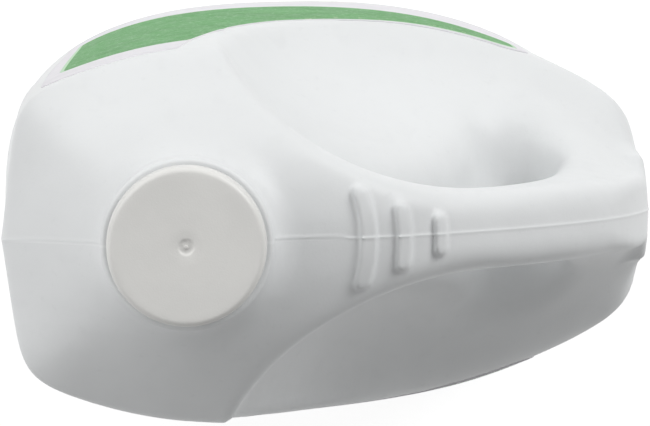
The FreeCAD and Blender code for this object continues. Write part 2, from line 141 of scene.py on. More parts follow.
# studio, m and degrees
WHITE = (1.0, 1.0, 1.0, 1.0)
FLOOR_HALF, FLOOR_DROP, FLOOR_PALENESS, FLOOR_GLOW = 6.0, 0.0002, 0.5, 0.8
LAMP_SPREAD = 35                 # how soft the lamps' shadows are
CAMERA_PLACE, CAMERA_TURN = (-0.018508, 0.061508, 1.441344), (-0.04675, -0.01752, -0.02237)
CAMERA_LENS, CAMERA_SENSOR, CAMERA_REACH = 249.87, 36.0, 20.0


# ---------------------------------------------------------------- shaping
def soft_low(a, b, k):
    """The lower of two fields, with the valley between them rounded over k."""
    h = np.clip(0.5 + 0.5 * (b - a) / k, 0, 1)
    return b + (a - b) * h - k * h * (1 - h)


def soft_high(a, b, k):
    """The higher of two fields, with the ridge between them rounded over k."""
    return -soft_low(-a, -b, k)


def ease(low, high, v):
    """0 below low, 1 above high, and a smooth step between them."""
    t = np.clip((v - low) / (high - low), 0, 1)
    return t * t * (3 - 2 * t)


def between(a, b, share):
    """a at 0 and b at 1."""
    return a + (b - a) * share


def even(field, steepest=FAR):
    """The same field, scaled to grow by one for each millimetre, unless it is steeper than the limit."""
    def scaled(x, y, z):
        f = field(x, y, z)
        e = SLOPE_STEP
        slope = np.sqrt((field(x + e, y, z) - f) ** 2 + (field(x, y + e, z) - f) ** 2
                        + (field(x, y, z + e) - f) ** 2) / e
        return f / np.clip(slope, LEAST_SLOPE, steepest)
    return scaled


def level_shape(z):
    """Centre, reach to the left, reach to the right and half depth of the jug's outline at a height."""
    wall = SHOULDER_INSET * (z - BASE_RADIUS) / (SHOULDER_Z - BASE_RADIUS)
    dome = DOME_INSET - (DOME_INSET - SHOULDER_INSET) / (DOME_Z - SHOULDER_Z) * (DOME_Z - z)
    inset = np.clip(soft_high(np.clip(wall, 0, None), dome, SHOULDER_ROUNDING), 0, DOME_INSET + 4)
    middle = between(WIDEST_X, NECK_X, inset / DOME_INSET)
    over = np.clip(z - CREST_Z, 0, CREST_RADIUS - 2)
    right = CREST_X + np.sqrt(CREST_RADIUS ** 2 - over ** 2) - middle
    return middle, middle + HALF_LENGTH - inset, np.maximum(right, LEAST_RIGHT), HALF_DEPTH - inset


def oval(a, b, power):
    """1 on an oval outline, for distances given as shares of its half axes."""
    return (a ** power + b ** power) ** (1 / power)


def squared(a, b, side):
    """An outline with a slanted straight side, a nearly flat end and a rounded corner between them."""
    slant, reach, end_slant, end_reach, corner, width = side
    return ((b / width) ** corner + ((b + slant * a) / reach) ** corner
            + ((a + end_slant * b) / end_reach) ** corner) ** (1 / corner)


def outline_field(x, y, z):
    """Grows outwards from the jug's outline within each level, before anything is cut."""
    middle, left, right, half = level_shape(z)
    across = x - middle
    handle_side = across > 0
    a = np.abs(across) / np.where(handle_side, right, left)
    b = np.abs(y) / half
    foot = oval(a, b, np.where(handle_side, FOOT_RIGHT, FOOT_LEFT))
    upper = np.where(handle_side, squared(a, b, SIDE_RIGHT), squared(a, b, SIDE_LEFT))
    square = ease(BASE_RADIUS, np.where(handle_side, SQUARE_RIGHT_Z, SQUARE_LEFT_Z), z)
    dome = np.clip((z - SHOULDER_Z) / (DOME_Z - SHOULDER_Z), 0, 1)
    return (between(between(foot, upper, square), oval(a, b, DOME_POWER), dome) - 1) * half


def crest_z(x):
    """Height of the arc along the handle's ridge."""
    return CREST_Z + np.sqrt(np.clip(CREST_RADIUS ** 2 - (x - CREST_X) ** 2, 0, None))


def smoothed(xs, table, reach=5):
    """Values at each x from a table of (x, value) corners, with the corners rounded."""
    weights = np.hanning(2 * reach + 3)
    padded = np.pad(np.interp(xs, *zip(*table)), reach + 1, mode="edge")
    return np.convolve(padded, weights / weights.sum(), mode="valid")


def wall_half(x, z):
    """Half depth of the outline at (x, z), found by halving."""
    low, high = np.zeros_like(x), np.full_like(x, REACH_Y)
    for _ in range(24):
        middle = (low + high) / 2
        inside = outline_field(x, middle, z) < 0
        low, high = np.where(inside, middle, low), np.where(inside, high, middle)
    return low


def scoop_tables():
    """For each x, the scoop's top and inner edge, and on both sides the height and reach of its lower edge."""
    xs = np.arange(-REACH_X, REACH_X + 1, 1.0)
    top = soft_low(np.full_like(xs, SCOOP_TOP_Z), crest_z(xs) - SCOOP_BELOW_CREST, SCOOP_TOP_ROUNDING)
    turn = np.clip((SCOOP_X - xs) / SCOOP_HALF, 0, 0.999)
    near = SCOOP_Y - SCOOP_REACH * np.sqrt(1 - turn ** 2)
    rims = [smoothed(xs, table) for table in SCOOP_RIM]
    far = [np.maximum(wall_half(xs, rim), SCOOP_LEAST_REACH) + SCOOP_FLAT for rim in rims]
    return xs, top, near, rims, far


TABLES = scoop_tables()


def scoop_field(x, y, z):
    """Negative in the space scooped out beside the handle, on both sides."""
    xs, top, near, rims, far = TABLES
    top_z = np.interp(x, xs, top)
    inner = np.interp(x, xs, near)
    rim, outer = (np.where(y > 0, np.interp(x, xs, back), np.interp(x, xs, front)) for back, front in (rims, far))
    outer = np.maximum(outer, inner + SCOOP_LEAST_WIDTH)
    share = np.maximum(1 - (SCOOP_FLAT / (outer - inner)) ** SCOOP_POWER, SCOOP_LEAST_SHARE)
    depth = np.maximum(top_z - rim, SCOOP_LEAST_DEPTH) / share ** (1 / SCOOP_POWER)
    a = np.maximum(outer - np.abs(y), 0) / (outer - inner)
    b = np.maximum(top_z - z, 0) / depth
    hollow = (oval(a, b, SCOOP_POWER) - 1) * np.minimum(outer - inner, depth)
    lip = x - LIP_X - LIP_LEAN_Z * np.maximum(z - LIP_Z, 0) - LIP_LEAN_Y * np.maximum(np.abs(y) - LIP_Y, 0)
    return soft_high(hollow, lip / LIP_SLOPE, LIP_ROUNDING)


def round_crest(radius, degrees):
    """(x, z) at an angle round the centre of the ridge's arc."""
    angle = math.radians(degrees)
    return CREST_X + radius * math.cos(angle), CREST_Z + radius * math.sin(angle)


def slot_field(x, z):
    """Negative inside the finger slot: two arcs for its sides and a round end above and below."""
    high_half, low_half = SLOT_HIGH[1], SLOT_LOW[1]
    high = np.array(round_crest(SLOT_OUTER - high_half, SLOT_HIGH[0]))
    low = np.array(round_crest(SLOT_OUTER - low_half, SLOT_LOW[0]))
    line = high - low
    apart = np.linalg.norm(line)
    line /= apart
    reach = (SLOT_BACK + low_half, SLOT_BACK + high_half)
    along = (apart ** 2 + reach[0] ** 2 - reach[1] ** 2) / (2 * apart)
    back = low + line * along + np.array([-line[1], line[0]]) * math.sqrt(reach[0] ** 2 - along ** 2)
    f = np.maximum(np.hypot(x - CREST_X, z - CREST_Z) - SLOT_OUTER,
                   SLOT_BACK - np.hypot(x - back[0], z - back[1]))
    for point, half, sign in ((low, low_half, -1), (high, high_half, 1)):
        out = point - CREST_CENTRE
        out /= np.linalg.norm(out)
        past = ((x - point[0]) * -out[1] + (z - point[1]) * out[0]) * sign
        f = np.where(past > 0, np.hypot(x - point[0], z - point[1]) - half, f)
    return f


def neck_distance(x, y):
    """Distance from the neck's axis."""
    return np.hypot(x - NECK_X, y)


even_outline = even(outline_field)
even_scoop = even(scoop_field, SCOOP_STEEPEST)


def body_field(x, y, z):
    """Outside of the jug up to its collar, without ribs and parting line."""
    wall = even_outline(x, y, z)
    foot_a = np.maximum(wall + BASE_RADIUS, 0)
    foot_b = np.maximum(BASE_RADIUS - z, 0)
    f = np.where((foot_a > 0) & (foot_b > 0), np.hypot(foot_a, foot_b) - BASE_RADIUS, np.maximum(wall, -z))
    f = soft_high(f, z - DOME_Z, DOME_ROUNDING)
    edge = between(SCOOP_EDGE, SCOOP_HANDLE_EDGE, ease(*SCOOP_HANDLE_RUN, x))
    edge = edge * between(1.0, SCOOP_END_SHARE, ease(*SCOOP_END_RUN, x))
    f = soft_high(f, -even_scoop(x, y, z), edge)
    f = soft_high(f, -slot_field(x, z), SLOT_ROUNDING)
    hollow = np.maximum(wall + RING_INSET + PUSH_UP_LEAN * z, z - PUSH_UP)
    return soft_high(f, -hollow, RING_ROUNDING)


def collared_field(x, y, z):
    """The jug's outside with the collar growing out of its dome."""
    collar = np.maximum(neck_distance(x, y) - COLLAR_RADIUS, NECK_FOOT_Z - z)
    return soft_low(body_field(x, y, z), collar, COLLAR_ROUNDING)


def rib_height(x, y, z):
    """Height of the grip ribs above the handle's back, as a share."""
    total = np.zeros_like(x)
    for middle_x, width, length, bow in RIBS:
        across = x - middle_x + bow * (y / (length / 2)) ** 2
        run = CREST_RADIUS / math.sqrt(CREST_RADIUS ** 2 - (middle_x - CREST_X) ** 2)
        corner = width / 2 - RIB_CORNER
        a = np.abs(across) * run - width / 2 + corner
        b = np.abs(y) - length / 2 + corner
        off = np.hypot(np.maximum(a, 0), np.maximum(b, 0)) + np.minimum(np.maximum(a, b), 0) - corner
        total = np.maximum(total, 1 - ease(*RIB_FLANK, off))
    return total * (np.hypot(x - CREST_X, z - CREST_Z) > CREST_RADIUS - RIB_DEPTH) * (z > RIB_LEAST_Z)


def seam_y(x, z):
    """The parting line runs a hair off centre on the neck's side of the ribs."""
    return between(SEAM_SHIFT, 0.0, ease(*SEAM_SHIFT_X, x)) * ease(*SEAM_SHIFT_Z, z)


def detail_height(x, y, z, settings):
    """How far the ribs and the parting line stand out."""
    off = (y - seam_y(x, z)) / SEAM_HALF
    seam = np.exp(-off * off) * settings.seam_height / MM * ease(*SEAM_START_Z, z)
    return rib_height(x, y, z) * settings.rib_height / MM + seam


def outer_field(settings):
    """The jug's outer skin up to the collar."""
    return lambda x, y, z: collared_field(x, y, z) - detail_height(x, y, z, settings)


def inner_field(settings):
    """The jug's inner skin, with the bore of the collar."""
    def field(x, y, z):
        bore = np.maximum(neck_distance(x, y) - COLLAR_BORE, NECK_FOOT_Z - z)
        return soft_low(body_field(x, y, z) + settings.wall / MM * INNER_GAP, bore, BORE_ROUNDING)
    return field


# ---------------------------------------------------------------- meshing
def lines(*runs):
    """Grid lines from (start, end, spacing) runs."""
    found = []
    for start, end, spacing in runs:
        count = max(1, round((end - start) / spacing))
        found.extend(np.linspace(start, end, count, endpoint=False))
    found.append(runs[-1][1])
    return np.array(found)


def mirrored(runs):
    """Grid lines on both sides of zero."""
    half = lines(*runs)
    return np.concatenate([-half[::-1], half])


def skin_of(field, xs, ys, zs):
    """Quads over a field's surface, with one point in each grid box that it crosses.

    The skin is left open where it meets the grid's top.
    """
    f = field(*np.meshgrid(xs, ys, zs, indexing="ij"))
    shape = tuple(n - 1 for n in f.shape)
    count = np.zeros(shape).ravel()
    total = np.zeros((count.size, 3))
    axes = (xs, ys, zs)
    quads = []
    for d in range(3):
        # grid edges along this axis that the surface crosses, and where
        near = [slice(None)] * 3
        far = [slice(None)] * 3
        near[d] = slice(0, -1)
        far[d] = slice(1, None)
        a = f[tuple(near)]
        b = f[tuple(far)]
        crossed = (a < 0) != (b < 0)
        index = np.argwhere(crossed)
        share = a[crossed] / (a[crossed] - b[crossed])
        point = np.stack([axes[k][index[:, k]] for k in range(3)], 1)
        point[:, d] += share * (axes[d][index[:, d] + 1] - axes[d][index[:, d]])
        # the four boxes round each edge take its crossing into their mean, and are the corners of a quad
        sides = [k for k in range(3) if k != d]
        corners = []
        whole = np.ones(len(index), bool)
        for da, db in ((0, 0), (1, 0), (1, 1), (0, 1)):
            box = index.copy()
            box[:, sides[0]] -= 1 - da
            box[:, sides[1]] -= 1 - db
            ok = (box >= 0).all(1) & (box < np.array(shape)).all(1)
            whole &= ok
            flat = np.ravel_multi_index(np.clip(box, 0, np.array(shape) - 1).T, shape)
            np.add.at(count, flat[ok], 1)
            np.add.at(total, flat[ok], point[ok])
            corners.append(flat)
        quad = np.stack(corners, 1)
        flip = ~((a[crossed] < 0) ^ (d == 1))
        quad[flip] = quad[flip][:, ::-1]
        quads.append(quad[whole])
    # only boxes in use become points
    quads = np.concatenate(quads)
    used = np.unique(quads)
    number = np.full(count.size, -1)
    number[used] = np.arange(len(used))
    return total[used] / count[used][:, None], number[quads]


def slopes(field, points):
    """The field and its gradient at each point."""
    x, y, z = points.T
    f = field(x, y, z)
    e = SLOPE_STEP / 2
    g = np.stack([field(x + e, y, z) - field(x - e, y, z), field(x, y + e, z) - field(x, y - e, z),
                  field(x, y, z + e) - field(x, y, z - e)], 1) / (2 * e)
    return f, g


def settle(field, points, fixed_z, rounds=4, longest=1.5):
    """Moves points onto the field's surface in steps up to the longest; those above fixed_z keep their height."""
    for _ in range(rounds):
        f, g = slopes(field, points)
        g[points[:, 2] > fixed_z, 2] = 0
        points = points - g * (np.clip(f, -longest, longest) / np.maximum((g ** 2).sum(1), 0.1))[:, None]
    return points


def round_angles():
    """The angles of a turned ring's points."""
    return np.linspace(0, 2 * np.pi, SEGMENTS, endpoint=False)


class Mesh:
    """Points and faces gathered from several parts of one piece, in millimetres."""

    def __init__(self):
        self.points = np.zeros((0, 3))
        self.faces = []

    def add(self, points, faces=()):
        """Adds points, and faces that count from the first of them."""
        start = len(self.points)
        self.points = np.concatenate([self.points, points])
        self.faces.extend(tuple(int(i) + start for i in face) for face in faces)
        return start

    def ring(self, radii, z):
        """Points round the neck's axis."""
        angles = round_angles()
        radii = np.broadcast_to(radii, SEGMENTS)
        start = self.add(np.stack([NECK_X + radii * np.cos(angles), radii * np.sin(angles),
                                   np.broadcast_to(z, SEGMENTS)], 1))
        return list(range(start, start + SEGMENTS))

    def join_rings(self, lower, upper):
        """Quads between two rings with the same number of points; they face outwards if upper is higher."""
        n = len(lower)
        for k in range(n):
            self.faces.append((lower[k], lower[(k + 1) % n], upper[(k + 1) % n], upper[k]))

    def close(self, ring, z, upwards):
        """Triangles from a ring to a point on the neck's axis."""
        centre = self.add(np.array([(NECK_X, 0, z)]))
        n = len(ring)
        for k in range(n):
            a, b = ring[k], ring[(k + 1) % n]
            self.faces.append((a, b, centre) if upwards else (b, a, centre))

    def stitch(self, loop, ring, inwards=False):
        """Triangles from a loop with its own spacing up to an even ring, both sorted by angle round the neck."""
        whole, half = 2 * math.pi, math.pi

        def angle(i):
            x, y, _ = self.points[i]
            return math.atan2(y, x - NECK_X) % whole

        first_face = len(self.faces)
        loop = sorted(loop, key=angle)
        loop_angles, ring_angles = ([angle(i) for i in chain] for chain in (loop, ring))
        first = loop_angles[0]
        start = min(range(len(ring)), key=lambda k: abs((ring_angles[k] - first + half) % whole - half))
        ring = ring[start:] + ring[:start]
        ring_angles = ring_angles[start:] + ring_angles[:start]
        a = [(t - first) % whole for t in loop_angles] + [whole]
        b = [(ring_angles[0] - first + half) % whole - half]
        b += [(t - first) % whole for t in ring_angles[1:]] + [b[0] + whole]
        i = j = 0
        while i < len(loop) or j < len(ring):
            if j == len(ring) or (i < len(loop) and a[i + 1] <= b[j + 1]):
                self.faces.append((loop[i], loop[(i + 1) % len(loop)], ring[j % len(ring)]))
                i += 1
            else:
                self.faces.append((loop[i % len(loop)], ring[(j + 1) % len(ring)], ring[j]))
                j += 1
        if inwards:
            self.faces[first_face:] = [face[::-1] for face in self.faces[first_face:]]

    def open_edges(self, among):
        """Points on the open edge of the faces in a range."""
        seen = {}
        for face in self.faces[among]:
            for k, a in enumerate(face):
                b = face[(k + 1) % len(face)]
                key = (min(a, b), max(a, b))
                seen[key] = seen.get(key, 0) + 1
        return sorted({i for edge, times in seen.items() if times == 1 for i in edge})

    def to_object(self, name, body, nodes, slot, material):
        """Makes the piece, which rides on a body and replaces CAD nodes."""
        data = bpy.data.meshes.new(name)
        data.from_pydata((self.points * MM).tolist(), [], self.faces)
        if data.validate():
            raise RuntimeError(f"{name}: its mesh had faults")
        data.polygons.foreach_set("use_smooth", np.ones(len(data.polygons), bool))
        data.update()
        piece = bpy.data.objects.new(name, data)
        bpy.context.scene.collection.objects.link(piece)
        piece.data.materials.append(material)
        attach(piece, body)
        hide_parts(*nodes)
        return piece


def thread_height(angles, z, start_z, start_angle, crest):
    """How far a one-start thread stands out at each angle and height."""
    best = np.zeros_like(angles)
    total = 2 * np.pi * THREAD_TURNS
    for turn in range(-1, 3):
        along = (angles - start_angle) % (2 * np.pi) + 2 * np.pi * turn
        off = np.abs(z - start_z - PITCH * along / (2 * np.pi))
        height = np.clip((crest / 2 + THREAD_SLOPE * THREAD_DEPTH - off) / THREAD_SLOPE, 0, THREAD_DEPTH)
        fade = ease(0, THREAD_RUN_OUT, along) * (1 - ease(total - THREAD_RUN_OUT, total, along))
        best = np.maximum(best, height * fade)
    return best


def arc(centre_r, centre_z, radius, start, end, count):
    """(radius, height) points along an arc, by degrees."""
    return [(centre_r + radius * math.cos(math.radians(a)), centre_z + radius * math.sin(math.radians(a)))
            for a in np.linspace(start, end, count)]


def turned(mesh, profile, thread=None):
    """Rings along a (radius, height) profile. thread(angles, z, radius) gives what is added to the radius."""
    rings = []
    for radius, z in profile:
        extra = thread(round_angles(), z, radius) if thread else 0.0
        rings.append(mesh.ring(radius + extra, z))
    for lower, upper in zip(rings, rings[1:]):
        mesh.join_rings(lower, upper)
    return rings


# ---------------------------------------------------------------- pieces
def build_moulding(settings):
    """The blow moulding: outer skin, inner skin and neck finish as one closed shell."""
    mesh = Mesh()
    outside = outer_field(settings)
    xs = lines((-98, 6, 2), (6, 36, 0.6), (36, 98, 2))
    ys = mirrored([(0.12, 0.4, 0.3), (0.4, 0.8, 0.4), (0.8, 2.0, 0.6), (2.0, 16, 1), (16, 64, 2)])
    zs = lines((-3, 14, 1.5), (14, 110, 4), (110, 235, 2.2), (235, 262, 1.3), (262, 276, 2),
               (276, OUTER_SKIN_TOP, 1))
    points, quads = skin_of(outside, xs, ys, zs)
    mesh.add(settle(outside, points, fixed_z=OUTER_SKIN_TOP - 1.1), quads)
    outer_rim = mesh.open_edges(slice(0, len(mesh.faces)))

    # up the collar and the threaded finish, over its lip, and down the bore
    edge, root, lip, bore_lip = 1.3, 1.0, 0.7, 0.5
    profile = [(COLLAR_RADIUS, OUTER_SKIN_TOP + RING_GAP)]
    profile += arc(COLLAR_RADIUS - edge, COLLAR_TOP - edge, edge, 0, 90, 6)
    profile += arc(FINISH_RADIUS + root, COLLAR_TOP + root, root, 270, 180, 4)
    profile += [(FINISH_RADIUS, z) for z in np.linspace(COLLAR_TOP + 1.3, FINISH_TOP - 0.9, 29)]
    profile += arc(FINISH_RADIUS - lip, FINISH_TOP - lip, lip, 0, 90, 4)
    profile += arc(BORE_RADIUS + bore_lip, FINISH_TOP - bore_lip, bore_lip, 90, 180, 3)
    profile += [(BORE_RADIUS, 296.0), (BORE_RADIUS, 291.2), (BORE_RADIUS + 0.3, 290.4), (17.0, 288.7),
                (COLLAR_BORE - 0.5, 284.9), (COLLAR_BORE, 284.0), (COLLAR_BORE, INNER_SKIN_TOP + RING_GAP)]

    def thread(angles, z, radius):
        if radius != FINISH_RADIUS or z < COLLAR_TOP:
            return 0.0
        return thread_height(angles, z, COLLAR_TOP + THREAD_START, 0.0, NECK_THREAD_CREST)

    rings = turned(mesh, profile, thread)
    mesh.stitch(outer_rim, rings[0])

    inside = inner_field(settings)
    zs = lines((-2, 16, 2), (16, 112, 6), (112, 256, 3.6), (256, INNER_SKIN_TOP, 2))
    points, quads = skin_of(inside, lines((-97, 97, 4)), lines((-63, 63, 3.5)), zs)
    start = len(mesh.faces)
    mesh.add(settle(inside, points, fixed_z=INNER_SKIN_TOP - 2.1), quads[:, ::-1])
    mesh.stitch(mesh.open_edges(slice(start, len(mesh.faces))), rings[-1], inwards=True)
    return mesh


def build_cap():
    """Closed shell of the cap, traced from the middle of its ceiling round the skirt to the gate mark on top."""
    mesh = Mesh()
    top = CAP_HIGH.z / MM
    foot = top - CAP_HEIGHT
    wide, inner, ceiling = CAP_RADIUS, CAP_INNER_RADIUS, top - CAP_CEILING
    edge, draft, lip = 1.5, 0.3, 0.4
    stub, dish, dish_depth = 0.5, 1.9, 0.4
    # the gate's stub in its dish, then the top, the skirt's outside and foot, its threaded inside, the ceiling
    path = arc(stub - 0.12, top - 0.22, 0.12, 90, 0, 3)
    path += [(stub, top - 0.36), (stub + 0.1, top - dish_depth), (dish - 0.5, top - dish_depth),
             (dish - 0.25, top - 0.34), (dish, top - 0.2), (dish + 0.22, top - 0.06), (dish + 0.5, top)]
    path += [(radius, top) for radius in (5.0, 9.0, 14.0, 17.5)]
    path += arc(wide - draft - edge, top - edge, edge, 90, 0, 9)
    path += [(wide - draft * share, top - edge - (CAP_HEIGHT - edge - lip) * (1 - share))
             for share in (0.75, 0.5, 0.25)]
    path += arc(wide - lip, foot + lip, lip, 0, -90, 5)
    path += arc(inner + 0.3, foot + 0.3, 0.3, 270, 180, 3)
    path += [(inner, z) for z in np.linspace(foot + 0.45, ceiling - 0.9, 36)]
    path += arc(inner - 0.5, ceiling - 0.5, 0.5, 0, 90, 4)
    path += [(radius, ceiling) for radius in (17.0, 12.0, 6.0)]
    start_z = foot + CAP_THREAD_CREST / 2 + THREAD_SLOPE * THREAD_DEPTH
    start_angle = 2 * np.pi * (start_z - (COLLAR_TOP + THREAD_START + PITCH / 2)) / PITCH

    def thread(angles, z, radius):
        return -thread_height(angles, z, start_z, start_angle, CAP_THREAD_CREST) if radius == inner else 0.0

    rings = turned(mesh, path[::-1], thread)
    mesh.close(rings[0], ceiling, upwards=False)
    mesh.close(rings[-1], top - 0.1, upwards=True)
    return mesh


def build_wad():
    """Foam disc with the neck's lip pressed lightly into it."""
    mesh = Mesh()
    low, high, edge = LINER_LOW.z / MM, LINER_HIGH.z / MM, LINER_EDGE
    path = [(6.0, low), (12.0, low), (14.7, low), (15.3, low + LIP_MARK), (16.6, low + LIP_MARK), (17.2, low)]
    path += arc(LINER_RADIUS - edge, low + edge, edge, 270, 360, 4)
    path += arc(LINER_RADIUS - edge, high - edge, edge, 0, 90, 4)
    path += [(radius, high) for radius in (14.0, 9.0, 4.0)]
    rings = turned(mesh, path)
    mesh.close(rings[0], low, upwards=False)
    mesh.close(rings[-1], high, upwards=True)
    return mesh


def corner_cut(distance, radius):
    """How much a round corner takes off a film's height at a distance from its end."""
    inside = np.clip(radius - distance, 0, radius)
    return radius - np.sqrt(radius ** 2 - inside ** 2)


def wall_y(x, z, side):
    """Where the long wall is at (x, z), with the scoop's rounded rim."""
    y = np.full_like(x, side * (HALF_DEPTH - 3.0))
    longest, least_slope = 6.0, 0.3
    for _ in range(12):
        f = body_field(x, y, z)
        slope = (body_field(x, y + SLOPE_STEP, z) - f) / SLOPE_STEP * side
        y = y - side * np.clip(f / np.maximum(slope, least_slope), -longest, longest)
    return y


def scoop_rim(xs, side):
    """Height at which the scoop starts on the long wall, for each x; far above the label to the left of it."""
    rim = np.interp(xs, TABLES[0], TABLES[3][0 if side > 0 else 1])
    return rim + 40 * (1 - ease(-35, -28, xs))


def label_edges(xs, side):
    """Heights of the film's lower and upper edge, which runs just below the scoop."""
    low = LABEL_BOTTOM + corner_cut(xs - LABEL_LEFT, LABEL_CORNER) + corner_cut(LABEL_RIGHT - xs, LABEL_CORNER)
    rims = [scoop_rim(xs + shift, side) for shift in (-1.0, 0.5, 2.0, 3.5, 5.0)]
    high = np.minimum.reduce(rims) - between(*LABEL_BELOW_SCOOP, ease(6, 34, xs))
    high = soft_low(high, LABEL_TOP, 10.0)
    return low, high - corner_cut(xs - LABEL_LEFT, LABEL_TOP_CORNER) - corner_cut(LABEL_RIGHT - xs, LABEL_CORNER)


def build_label(side):
    """Printed film on one long wall, an outer and an inner sheet joined round their edge.

    Also gives each point's distance below the film's upper edge, in metres.
    """
    ends = np.array([0, 0.25, 0.8, 1.7, 3, 4.6, 6.4, 8.4])     # columns crowd where the corners are round
    left = LABEL_LEFT + ends
    right = LABEL_RIGHT - ends[::-1]
    xs = np.concatenate([left, lines((left[-1] + 2, -52, 2), (-52, -4, 1), (-4, right[0] - 2, 2)), right])
    low, high = label_edges(xs, side)
    share = np.concatenate([[0, 0.006], lines((0.02, 0.98, 0.0145)), [0.994, 1]])
    x = np.repeat(xs[:, None], len(share), 1)
    z = between(low[:, None], high[:, None], share[None, :])
    wall = np.stack([x, wall_y(x, z, side), z], 2).reshape(-1, 3)
    _, normal = slopes(body_field, wall)
    normal /= np.linalg.norm(normal, axis=1)[:, None]
    n, m = len(xs), len(share)
    mesh = Mesh()
    outer = mesh.add(wall + normal * LABEL_THICKNESS)
    inner = mesh.add(wall - normal * LABEL_EMBEDDED)
    for i in range(n - 1):
        for j in range(m - 1):
            quad = (i * m + j, (i + 1) * m + j, (i + 1) * m + j + 1, i * m + j + 1)
            mesh.faces.append(tuple(outer + k for k in (quad[::-1] if side > 0 else quad)))
            mesh.faces.append(tuple(inner + k for k in (quad if side > 0 else quad[::-1])))
    # the border's points in order, once round the film
    border = [i * m for i in range(n)] + [(n - 1) * m + j for j in range(1, m)]
    border += [i * m + m - 1 for i in range(n - 2, -1, -1)] + [j for j in range(m - 2, 0, -1)]
    if side > 0:
        border = border[::-1]
    for k, a in enumerate(border):
        b = border[(k + 1) % len(border)]
        mesh.faces.append((outer + a, inner + a, inner + b, outer + b))
    top_gap = ((high[:, None] - z) * MM).reshape(-1)
    return mesh, np.concatenate([top_gap, top_gap])


# ---------------------------------------------------------------- finishes
class Nodes:
    """A fresh node tree and short ways to fill it."""

    def __init__(self, owner):
        owner.use_nodes = True
        self.tree = owner.node_tree
        self.tree.nodes.clear()

    def node(self, kind, inputs=None, **settings):
        """A node of a kind, its inputs linked or set, and its own settings."""
        made = self.tree.nodes.new("ShaderNode" + kind)
        for key, value in settings.items():
            setattr(made, key, value)
        for key, value in (inputs or {}).items():
            if isinstance(value, bpy.types.NodeSocket):
                self.tree.links.new(value, made.inputs[key])
            else:
                made.inputs[key].default_value = value
        return made

    def math(self, operation, *values):
        return self.node("Math", dict(enumerate(values)), operation=operation).outputs[0]

    def seen(self):
        """1 where the floor or background is looked at, straight, mirrored or through glass."""
        path = self.node("LightPath").outputs
        direct = self.math("MAXIMUM", path["Is Camera Ray"], path["Is Glossy Ray"])
        return self.math("MAXIMUM", direct, path["Is Transmission Ray"])


class Finish(Nodes):
    """A procedural material in the object's own coordinates: texture scales per metre, bump heights in metres."""

    def __init__(self, name):
        self.material = bpy.data.materials.new(name)
        super().__init__(self.material)
        self.place = self.node("TexCoord").outputs["Object"]

    def split(self):
        """The object's own x, y and z."""
        return self.node("SeparateXYZ", {"Vector": self.place}).outputs

    def noise(self, scale, detail=3.0, place=None):
        return self.node("TexNoise", {"Vector": place or self.place, "Scale": scale, "Detail": detail}).outputs[0]

    def ramp(self, value, low, high, start=0.0, end=1.0):
        """start at low, end at high, and eased between them."""
        made = self.node("MapRange", {"Value": value, "From Min": low, "From Max": high, "To Min": start,
                                      "To Max": end}, interpolation_type="SMOOTHSTEP")
        return made.outputs[0]

    def mix(self, share, first, second):
        """The first colour, blended towards the second by a share."""
        made = self.node("Mix", {0: share}, data_type="RGBA")
        for index, value in ((6, first), (7, second)):
            if isinstance(value, bpy.types.NodeSocket):
                self.tree.links.new(value, made.inputs[index])
            else:
                made.inputs[index].default_value = (*value[:3], 1.0)
        return made.outputs[2]

    def bump(self, height, distance, below=None):
        """Fine relief on top of what is below it."""
        inputs = {"Height": height, "Distance": distance, "Strength": 1.0}
        if below:
            inputs["Normal"] = below
        return self.node("Bump", inputs).outputs[0]

    def surface(self, colour, roughness, normal, **constants):
        """The finished material. Constants are the shader's own sockets, in small letters."""
        inputs = {"Base Color": colour, "Roughness": roughness, "Normal": normal}
        for key, value in constants.items():
            inputs[key.replace("_", " ").title().replace("Ior", "IOR")] = value
        shader = self.node("BsdfPrincipled", inputs)
        self.node("OutputMaterial", {"Surface": shader.outputs[0]})
        return self.material


def shade(colour, share):
    """The colour, lighter or darker by a share."""
    return tuple(min(1.0, c * share) for c in colour[:3])


def moulded_plastic(colours):
    """Milky blow-moulded plastic: faint cloudiness, flow streaks, soft waves, and a painted highlight along the
    parting line.
    """
    f = Finish("Blow-moulded jug plastic")
    base = tuple(colours.jug)
    clouds = f.noise(22.0, 4.0)
    streak_place = f.node("Mapping", {"Vector": f.place, "Scale": (160.0, 160.0, 9.0)}).outputs[0]
    streaks = f.noise(1.0, 2.0, streak_place)
    colour = f.mix(f.ramp(clouds, 0.35, 0.65), shade(base, 0.965), base)
    colour = f.mix(f.ramp(streaks, 0.55, 0.8, 0.0, 0.35), colour, shade(base, 0.93))
    # painted highlight: paler colour in a thin band along the raised parting line
    seam = f.ramp(f.math("ABSOLUTE", f.split()[1]), 0.00015, 0.0006, 1.0, 0.0)
    colour = f.mix(f.math("MULTIPLY", seam, 0.5), colour, shade(base, 1.1))
    scuffs = f.ramp(f.noise(420.0, 5.0), 0.62, 0.74)
    colour = f.mix(f.math("MULTIPLY", scuffs, 0.12), colour, shade(base, 0.8))
    roughness = f.math("ADD", f.ramp(clouds, 0.3, 0.7, 0.42, 0.50), f.math("MULTIPLY", scuffs, 0.12))
    normal = f.bump(f.noise(38.0, 2.0), 0.0009)
    normal = f.bump(streaks, 0.00006, normal)
    normal = f.bump(f.noise(1500.0, 3.0), 0.000025, normal)
    return f.surface(colour, roughness, normal, IOR=1.5, specular_IOR_level=0.35)


